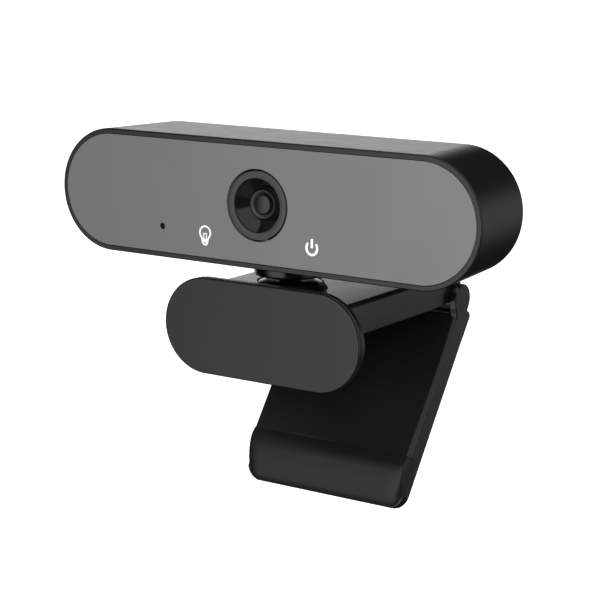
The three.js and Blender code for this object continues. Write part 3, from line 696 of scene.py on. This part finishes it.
def make_stop_face():
    """Flat front face with a small round edge and a step behind that sits in the arm's back plate."""
    y = face_low[1]
    edge_in, edge_deep = 0.38, 0.34
    turns = [math.radians(a) for a in (0, 15, 30, 45, 60, 75, 90)]
    rings = [stop_ring(edge_in * (1 - math.sin(t)), y + edge_deep * (1 - math.cos(t))) for t in turns]
    rings += [stop_ring(0, y + 0.56), stop_ring(0.05, y + 0.6)]
    rings += [stop_ring(2.1, y + 0.6), stop_ring(2.1, y + 1.1)]
    obj = finish_mesh("stop_face_plate", skin(rings), "clip", "satin_black")
    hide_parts("clip_face")


make_stop_face()
soften(NODES["clip_arm"], 0.25)

# ------------------------------------------------------------------ leg

LEG_JOINT = next(joint for joint in frame["joints"] if joint["name"] == "leg_fold")
HINGE_AT = [c / MM for c in LEG_JOINT["pos_m"]]
LEG_LEAN = math.radians(36.3)
LEG_POSE = Matrix.Translation(HINGE_AT) @ Matrix.Rotation(-LEG_LEAN, 4, "X")
LEG_HALF = 20.07
LEG_IN, LEG_OUT, LEG_END, PAD_END = -0.22, 5.28, 48.3, 37.4
EAR_IN, EAR_R, SADDLE_R = 18.6, 3.42, 3.5
INNER_EDGE, OUTER_EDGE = 1.1, 0.5
LEG_CORNER = 3.3
SEAT_Y, SEAT_LOW = 3.0, -46.0
LINING_HALF, LINING_TOP, LINING_LOW = 18.57, -7.2, -37.3
LINING_GAP = 0.03


def leaned(bm):
    """Moves a bmesh drawn with the leg hanging straight down to the leg's resting place."""
    bmesh.ops.transform(bm, matrix=LEG_POSE, verts=bm.verts)
    return bm


def upright(points):
    """Points given beside the resting hinge, turned back to the straight-down drawing."""
    c, s = math.cos(LEG_LEAN), math.sin(LEG_LEAN)
    return [(y * c - z * s, y * s + z * c) for y, z in points]


def spline(points, per_span=5):
    """Smooth line through points (Catmull-Rom)."""
    def between(a, b, c, d, t):
        bend = (2 * a - 5 * b + 4 * c - d) * t * t
        twist = (3 * b - a - 3 * c + d) * t ** 3
        return 0.5 * (2 * b + (c - a) * t + bend + twist)

    padded = [points[0], *points, points[-1]]
    out = []
    for span in zip(padded, padded[1:], padded[2:], padded[3:]):
        for i in range(per_span):
            out.append(tuple(between(*along, i / per_span) for along in zip(*span)))
    return out + [points[-1]]


def leg_section():
    """Outline across the leg: generous rounding at the front edges, small at the back ones."""
    right_side = fillet(LEG_HALF - INNER_EDGE, LEG_IN + INNER_EDGE, INNER_EDGE, -90, 0, 8)
    right_side += fillet(LEG_HALF - OUTER_EDGE, LEG_OUT + 0.44 - OUTER_EDGE, OUTER_EDGE, 0, 90, 4)
    left_side = [(-x, y) for x, y in reversed(right_side)]
    return right_side + left_side


def make_leg_plate():
    """Long plate: saddle over the hinge, an ear at each side, a recess for the lining, a foot seat."""
    top = [(-2.79, -3.44), (-2.7, -3.3), (-2.56, -3.25), (-2.35, -3.24)]
    top += fillet(0, 0, SADDLE_R, 248, 305, 24)
    top += spline([(2.4, -2.97), (2.95, -3.35), (3.36, -4.1), (3.5, -4.9)], 4)
    side = upright(top)
    side += [(LEG_OUT, -8), (LEG_OUT, -LEG_END + 0.9)]
    side += fillet(LEG_OUT - 0.8, -LEG_END + 0.8, 0.8, 0, -90, 5)
    side += [(4.27, -LEG_END + 0.03), (4.2, -LEG_END + 0.08), (SEAT_Y, SEAT_LOW)]
    side += [(SEAT_Y, -PAD_END - 0.2), (LEG_IN, -PAD_END - 0.2)]
    inward, up = LEG_HALF - LEG_CORNER, -LEG_END + LEG_CORNER
    front = fillet(inward, up, LEG_CORNER, -90, 0, 12)
    front += [(LEG_HALF, 6), (-LEG_HALF, 6)]
    front += fillet(-inward, up, LEG_CORNER, 180, 270, 12)
    half = LINING_HALF + LINING_GAP
    recess = rounded_rect(-half, half, LINING_LOW - LINING_GAP, LINING_TOP + LINING_GAP, 0.43)
    plate = combine([prism(side, "x", -LEG_HALF, LEG_HALF)], [prism(recess, "y", LEG_IN - 1, LEG_IN + 1.0)],
                    [prism(front, "y", -8, 9), prism(leg_section(), "z", -60, 5)])
    ear = upright(fillet(0, 0, EAR_R, -38, 180, 48))
    ear += upright([(-3.36, -1.0), (-3.15, -1.9), (-2.85, -2.6), (-2.6, -4.2), (0.6, -7.2)])
    ear += upright([(2.6, -4.4), (2.3, -2.95)])
    ears = [round_edges(prism(ear, "x", *ends), 0.35, EAR_IN + 0.1)
            for ends in ((EAR_IN, LEG_HALF), (-LEG_HALF, -EAR_IN))]
    obj = finish_mesh("leg_blade", leaned(combine([plate, *ears])), "leg", "satin_black", 30)
    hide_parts("leg_plate")


def make_leg_lining():
    outline = rounded_rect(-LINING_HALF, LINING_HALF, LINING_LOW, LINING_TOP, 0.4)
    lining = prism(outline, "y", LEG_IN + 0.01, LEG_IN + 0.95)
    obj = finish_mesh("leg_lining", leaned(lining), "leg", "rubber_black")
    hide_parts("leg_pad")


FOOT_BACK = SEAT_Y - 0.05
FOOT_BACK_LOW = SEAT_LOW - 0.05
FOOT_HALF = 20.04
FOOT_TOP, FOOT_LOW, FOOT_LOW_Y = -37.62, -48.24, 4.17
FOOT_EDGE = 0.7


def outward(line):
    """Unit vector square to a line at each of its points."""
    normals = []
    for before, after in zip([line[0]] + line[:-1], line[1:] + [line[-1]]):
        run = math.hypot(after[0] - before[0], after[1] - before[1])
        normals.append(((after[1] - before[1]) / run, -(after[0] - before[0]) / run))
    return normals


def drop(distance, radius):
    """How far a round edge of a radius falls back at a distance into it."""
    return radius - math.sqrt(max(0.0, radius ** 2 - max(0.0, distance) ** 2))


def make_foot():
    """Cushion over the leg's lower end: rolls back to the bottom edge, with rounded lower corners."""
    crown = spline([(LEG_IN, FOOT_TOP), (-0.4, -38.9), (-0.45, -40.2), (-0.28, -41.4), (0.1, -42.6),
                    (0.55, -43.8), (1.1, -44.9), (1.75, -45.95), (2.5, -46.9), (3.3, -47.7),
                    (FOOT_LOW_Y, FOOT_LOW)], 4)
    turns = [math.radians(a) for a in (0, 12, 24, 36, 48, 60, 70, 80, 90)]
    ends = [FOOT_HALF - FOOT_EDGE * (1 - math.cos(t)) for t in turns]
    half_rows = ends + [18.9, 18.4, 17.6, 16.7, 15.7, 12, 6]
    xs = [-x for x in half_rows] + [0] + list(reversed(half_rows))
    rings = []
    for x in xs:
        inset = drop(abs(x) - (FOOT_HALF - FOOT_EDGE), FOOT_EDGE)
        rise = drop(abs(x) - (FOOT_HALF - LEG_CORNER), LEG_CORNER)
        squeeze = 1 - rise / (FOOT_TOP - FOOT_LOW)
        ring = [(x, FOOT_BACK, FOOT_TOP + (FOOT_BACK_LOW - FOOT_TOP) * squeeze), (x, FOOT_BACK, FOOT_TOP)]
        for (y, z), (ny, nz) in zip(crown, outward(crown)):
            shifted = FOOT_TOP + (z - nz * inset - FOOT_TOP) * squeeze
            ring.append((x, min(FOOT_LOW_Y, y - ny * inset), shifted))
        rings.append(ring)
    obj = finish_mesh("foot_cushion", leaned(skin(rings)), "leg", "rubber_black", 40)
    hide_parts("foot_pad")


make_leg_plate()
make_leg_lining()
make_foot()


# ------------------------------------------------------------------ small parts under the arm


def make_stop_pad():
    """Soft pad with level ribs toward the screen."""
    (x0, y0, z0), (x1, y1, z1) = box_mm("stop_pad")
    pitch, count, rib_high = 0.925, 8, 0.28
    floor_y = y1 - rib_high
    section = [(y0, z0)]
    for i in range(count):
        base = z0 + i * pitch
        section += [(floor_y, base), (floor_y, base + 0.18), (y1 - 0.05, base + 0.34), (y1, base + 0.46)]
        section += [(y1 - 0.05, base + 0.58), (floor_y, base + 0.74)]
    section += [(floor_y, z1), (y0, z1)]
    outline = rounded_rect(x0, x1, z0, z1, 2)
    body = combine([prism(section, "x", x0, x1)], [], [prism(outline, "y", y0 - 1, y1 + 1)])
    obj = finish_mesh("stop_cushion", body, "clip", "rubber_black")
    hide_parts("stop_pad")


def make_thread():
    """Flanged brass bush with a groove outside and a camera-screw thread inside."""
    low_corner, high_corner = box_mm("tripod_insert")
    at = ((low_corner[0] + high_corner[0]) / 2, (low_corner[1] + high_corner[1]) / 2, 0)
    z0, z1 = low_corner[2], high_corner[2]
    crest, root, pitch = 2.75, 3.1, 0.635
    profile = [(3.15, z0), (3.7, z0), (3.95, z0 + 0.12), (4, z0 + 0.3), (4, z0 + 2.5), (3.6, z0 + 2.7)]
    profile += [(3.6, z0 + 3.2), (4, z0 + 3.4), (4, z1), (crest, z1)]
    z = z1 - 0.1
    while z - pitch > z0 + 0.35:
        profile += [(crest, z), (root, z - pitch * 0.45), (root, z - pitch * 0.55), (crest, z - pitch)]
        z -= pitch
    profile += [(crest, z0 + 0.4), (3.15, z0)]
    obj = finish_mesh("tripod_bush", lathe(profile, "z", at, 64), "clip", "brass", 25)
    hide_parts("tripod_insert")


make_stop_pad()
make_thread()
soften(NODES["pan_screw"], 0.12)
soften(NODES["pan_washer"], 0.08)


# ------------------------------------------------------------------ camera

AZIMUTH = math.radians(32.853)
ELEVATION = math.radians(11.714)
ROLL = math.radians(0.662)
CAMERA_AT = Vector((0.19109, -0.30463, 0.07722))
LENS_MM = 103.48


def make_camera():
    data = bpy.data.cameras.new("camera")
    data.sensor_width = 36.0
    data.lens = LENS_MM
    data.clip_start = 0.01
    data.clip_end = 50.0
    obj = bpy.data.objects.new("camera", data)
    level = math.cos(ELEVATION)
    back = Vector((math.sin(AZIMUTH) * level, -math.cos(AZIMUTH) * level, math.sin(ELEVATION)))
    right = Vector((math.cos(AZIMUTH), math.sin(AZIMUTH), 0))
    up = back.cross(right)
    right_rolled = right * math.cos(ROLL) + up * math.sin(ROLL)
    up_rolled = up * math.cos(ROLL) - right * math.sin(ROLL)
    turn = Matrix((right_rolled, up_rolled, back)).transposed()
    obj.matrix_world = Matrix.Translation(CAMERA_AT) @ turn.to_4x4()
    bpy.context.scene.collection.objects.link(obj)
    bpy.context.scene.camera = obj


make_camera()
bpy.context.scene.view_settings.view_transform = "Standard"

# ------------------------------------------------------------------ floor and light


FLOOR_DROP = 0.085
BACKDROP = 1.1
CENTRE = Vector((0, -0.005, 0.01))
KEY_AT = Vector((0.22, -0.26, 0.15))
KEY_SIZE, KEY_POWER = 0.16, 1.5

# Each lobe of the studio light, from a direction (x, y, z): its strength, then on X, Y and Z where it starts,
# where it is full, to where it stays full and where it ends. A window from -2 or to 2 is open on that side.
# In order: behind on the left, behind on the right, front, above the front, floor, right.
LIGHT_LOBES = [
    (1.04, (-2, -1.9, -0.5, -0.3), (0.1, 0.45, 1.9, 2), (-0.55, -0.05, 0.08, 0.42)),
    (0.36, (-0.15, 0.55, 1.9, 2), (0.1, 0.45, 1.9, 2), (-0.5, -0.1, 0.04, 0.3)),
    (1.55, (-0.85, -0.35, 0.1, 0.4), (-2, -1.9, 0.0, 0.25), (-0.75, -0.45, 0.15, 0.4)),
    (0.8, (-0.56, -0.5, 0.75, 0.95), (-2, -1.9, 0.0, 0.25), (0.12, 0.22, 1.9, 2)),
    (0.2, (-2, -1.9, 1.9, 2), (-2, -1.9, -0.3, 0.05), (-2, -1.9, -0.6, -0.45)),
    (0.6, (0.8, 0.88, 1.9, 2), (-0.35, -0.1, 0.5, 0.6), (-0.4, -0.3, 0.3, 0.5)),
]
AMBIENT = 0.02


def make_world():
    """White to the camera; to everything else a dark studio with large soft lights round it."""
    world = bpy.data.worlds.new("studio")
    bpy.context.scene.world = world
    world.use_nodes = True
    tree = world.node_tree
    shader = tree.nodes["Background"]
    output = tree.nodes["World Output"]
    coords = tree.nodes.new("ShaderNodeTexCoord")
    split = tree.nodes.new("ShaderNodeSeparateXYZ")
    wire(tree, coords, "Generated", split, "Vector")

    def arithmetic(operation, first, second):
        made = tree.nodes.new("ShaderNodeMath")
        made.operation = operation
        for index, value in enumerate((first, second)):
            if isinstance(value, (int, float)):
                made.inputs[index].default_value = value
            else:
                tree.links.new(value, made.inputs[index])
        return made.outputs["Value"]

    def step(axis, start, end, first, last):
        made = tree.nodes.new("ShaderNodeMapRange")
        made.interpolation_type = "SMOOTHSTEP"
        for socket, value in zip(("From Min", "From Max", "To Min", "To Max"), (start, end, first, last)):
            made.inputs[socket].default_value = value
        wire(tree, split, axis, made, "Value")
        return made.outputs["Result"]

    total = AMBIENT
    for strength, *windows in LIGHT_LOBES:
        lobe = strength
        for axis, (start, full, still, end) in zip("XYZ", windows):
            if start > -2:
                lobe = arithmetic("MULTIPLY", lobe, step(axis, start, full, 0, 1))
            if end < 2:
                lobe = arithmetic("MULTIPLY", lobe, step(axis, still, end, 1, 0))
        total = arithmetic("ADD", total, lobe)
    tree.links.new(total, shader.inputs["Strength"])
    shader.inputs["Color"].default_value = (1, 1, 1, 1)
    white = node(tree, "ShaderNodeBackground", Color=(1, 1, 1, 1), Strength=BACKDROP)
    path = tree.nodes.new("ShaderNodeLightPath")
    mix = tree.nodes.new("ShaderNodeMixShader")
    wire(tree, path, "Is Camera Ray", mix, "Fac")
    tree.links.new(shader.outputs["Background"], mix.inputs[1])
    tree.links.new(white.outputs["Background"], mix.inputs[2])
    tree.links.new(mix.outputs["Shader"], output.inputs["Surface"])


make_world()


def make_floor():
    """Plain pale floor well below the hanging clip."""
    bm = bmesh.new()
    bmesh.ops.create_grid(bm, x_segments=8, y_segments=8, size=30.0)
    mesh = bpy.data.meshes.new("floor")
    bm.to_mesh(mesh)
    bm.free()
    obj = bpy.data.objects.new("floor", mesh)
    obj.location.z = CAD_BOX[0].z - FLOOR_DROP
    material = bpy.data.materials.new("floor")
    material.use_nodes = True
    tree = material.node_tree
    shader = tree.nodes["Principled BSDF"]
    shader.inputs["Roughness"].default_value = 0.9
    shader.inputs["Base Color"].default_value = (0.9, 0.9, 0.9, 1)
    shader.inputs["Emission Color"].default_value = (1, 1, 1, 1)
    shader.inputs["Emission Strength"].default_value = BACKDROP
    paint(obj, material)
    bpy.context.scene.collection.objects.link(obj)
    obj.visible_glossy = False
    obj.visible_diffuse = False


def make_key():
    """Square soft box on the camera's side; it lights matt surfaces and shows in no reflection."""
    data = bpy.data.lights.new("key", "AREA")
    data.shape = "RECTANGLE"
    data.size = KEY_SIZE
    data.size_y = KEY_SIZE
    data.energy = KEY_POWER
    obj = bpy.data.objects.new("key", data)
    obj.location = KEY_AT
    obj.rotation_euler = (CENTRE - KEY_AT).to_track_quat("-Z", "Y").to_euler()
    obj.visible_glossy = False
    bpy.context.scene.collection.objects.link(obj)


make_floor()
make_key()
